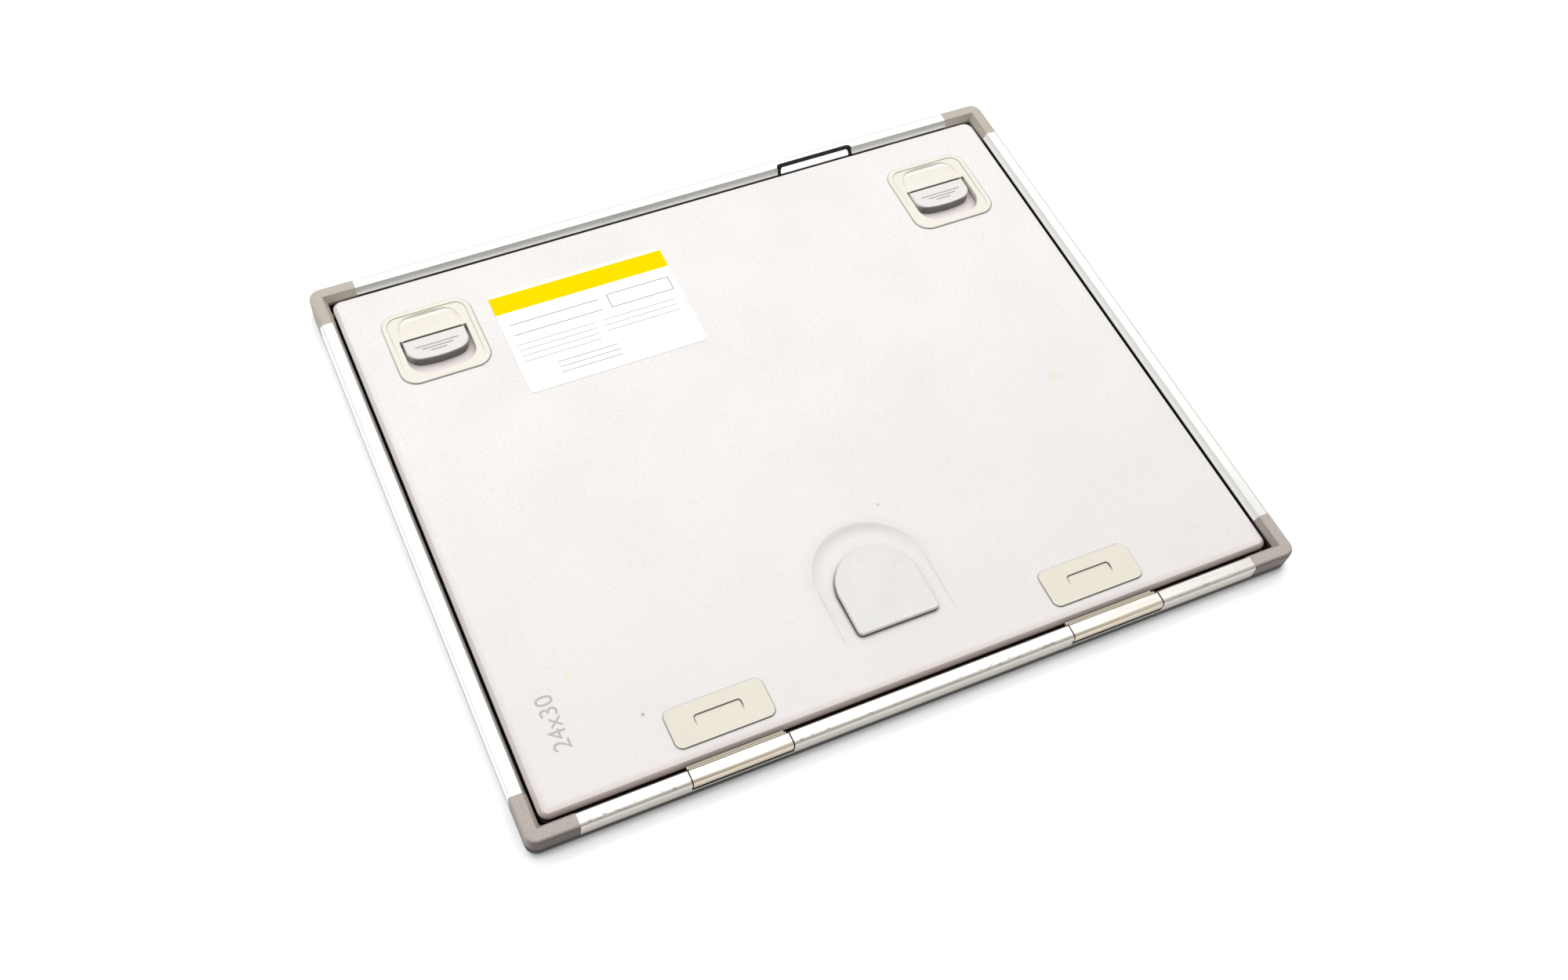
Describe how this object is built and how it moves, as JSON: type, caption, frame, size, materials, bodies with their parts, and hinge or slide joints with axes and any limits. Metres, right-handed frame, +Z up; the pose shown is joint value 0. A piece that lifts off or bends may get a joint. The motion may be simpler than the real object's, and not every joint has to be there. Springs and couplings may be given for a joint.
{
  "type": "x-ray film cassette",
  "caption": "Flat hinged light-tight case for sheet x-ray film: aluminium frame, tube-side panel, lid on knuckle hinges, sliding latches, intensifying screens.",
  "frame": {"origin": "centre of the underside, on the surface the closed case lies on", "axes": "+X along the long side, +Y from the hinge rail to the latch rail, +Z up through the lid"},
  "size_m": [0.327, 0.267, 0.0126],
  "materials": {
    "rail_metal": "satin anodised extrusion",
    "cap_plastic": "fine moulded texture",
    "lid_shell": "fine orange-peel, satin",
    "panel_sheet": "painted sheet, satin",
    "trim_plastic": "satin moulded plastic",
    "housing_plastic": "matt moulded plastic",
    "slider_plastic": "fine moulded texture",
    "knuckle_metal": "satin",
    "steel": "plain",
    "screen_coat": "smooth matt white",
    "black_foam": "closed-cell foam",
    "grey_foam": "open-cell foam",
    "lead_sheet": "dull",
    "window_black": "gloss",
    "window_white": "satin",
    "pad_plastic": "satin",
    "label_film": "semi-gloss"
  },
  "bodies": {
    "tray": {"rail_near": "rail_metal", "rail_far": "rail_metal", "rail_left": "rail_metal", "rail_right": "rail_metal", "corner_cap_near_left": "cap_plastic", "corner_cap_near_right": "cap_plastic", "corner_cap_far_left": "cap_plastic", "corner_cap_far_right": "cap_plastic", "tube_panel": "panel_sheet", "front_screen": "screen_coat", "light_seal": "black_foam", "window_bezel": "window_black", "window_strip": "window_white", "hinge_pin_left": "steel", "hinge_pin_right": "steel"},
    "lid": {"lid_cover": "lid_shell", "raised_pad": "pad_plastic", "blank_label": "label_film", "hinge_screws": "steel", "foam_pad": "grey_foam", "backscatter_foil": "lead_sheet", "back_screen": "screen_coat", "latch_screws": "steel", "hinge_knuckle_left": "knuckle_metal", "hinge_arm_left": "trim_plastic", "hinge_plate_left": "trim_plastic", "latch_bezel_left": "trim_plastic", "latch_housing_left": "housing_plastic", "hinge_knuckle_right": "knuckle_metal", "hinge_arm_right": "trim_plastic", "hinge_plate_right": "trim_plastic", "latch_bezel_right": "trim_plastic", "latch_housing_right": "housing_plastic"},
    "latch_left": {"latch_slider_left": "slider_plastic", "latch_bolt_left": "steel", "bolt_pin_left": "steel", "latch_springs_left": "steel"},
    "latch_right": {"latch_slider_right": "slider_plastic", "latch_bolt_right": "steel", "bolt_pin_right": "steel", "latch_springs_right": "steel"}
  },
  "joints": [
    {"name": "lid_hinge", "type": "hinge", "parent": "tray", "child": "lid", "pos_m": [0, -0.1302, 0.0091], "axis": [1, 0, 0], "range_deg": [0, 180]},
    {"name": "latch_slide_left", "type": "slide", "parent": "lid", "child": "latch_left", "axis": [0, -1, 0], "range_m": [0, 0.0055], "stiffness_N_per_m": 200, "springref_m": -0.006, "deforming": ["latch_springs_left"]},
    {"name": "latch_slide_right", "type": "slide", "parent": "lid", "child": "latch_right", "axis": [0, -1, 0], "range_m": [0, 0.0055], "stiffness_N_per_m": 200, "springref_m": -0.006, "deforming": ["latch_springs_right"]}
  ]
}
